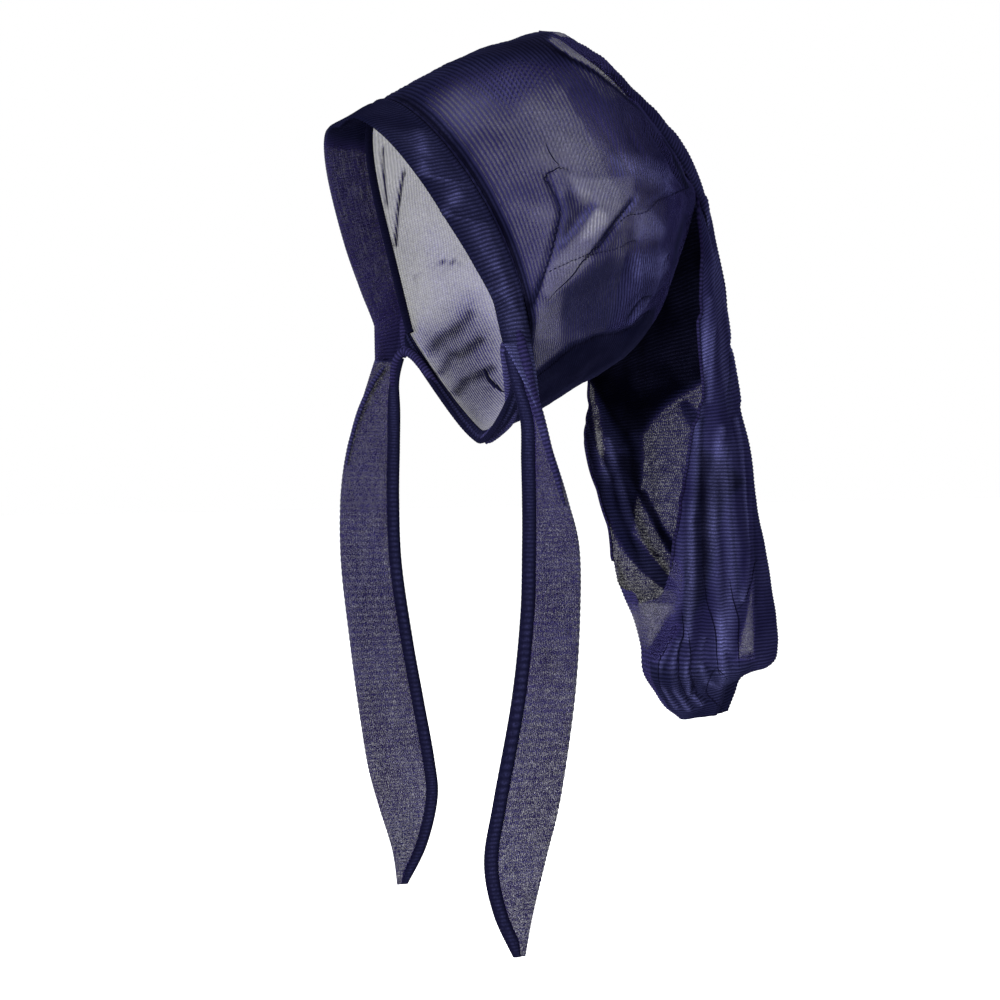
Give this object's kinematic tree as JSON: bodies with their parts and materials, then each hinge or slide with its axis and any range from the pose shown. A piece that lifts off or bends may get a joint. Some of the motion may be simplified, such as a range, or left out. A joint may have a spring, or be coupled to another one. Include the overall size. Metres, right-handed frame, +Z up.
{
  "type": "braid bonnet",
  "caption": "Sheer rib-knit bonnet with a folded brow band that runs on as long ties, a bound nape edge and a long open-fronted pouch for braids hanging behind.",
  "frame": {"origin": "inside the top of the crown, where it sits on the wearer's head", "axes": "+Z up with the head upright, -Y the way the wearer faces, +X the wearer's left"},
  "size_m": [0.1739, 0.276, 0.4861],
  "materials": {
    "knit": "sheer ribbed knit",
    "double_knit": "doubled ribbed knit",
    "binding": "matte ribbed binding"
  },
  "bodies": {
    "root": {"crown": "knit", "brow_band": "double_knit", "nape_binding": "binding", "left_tie": "double_knit", "left_tie_binding": "binding", "right_tie": "double_knit", "right_tie_binding": "binding", "braid_tail": "knit"}
  },
  "joints": []
}
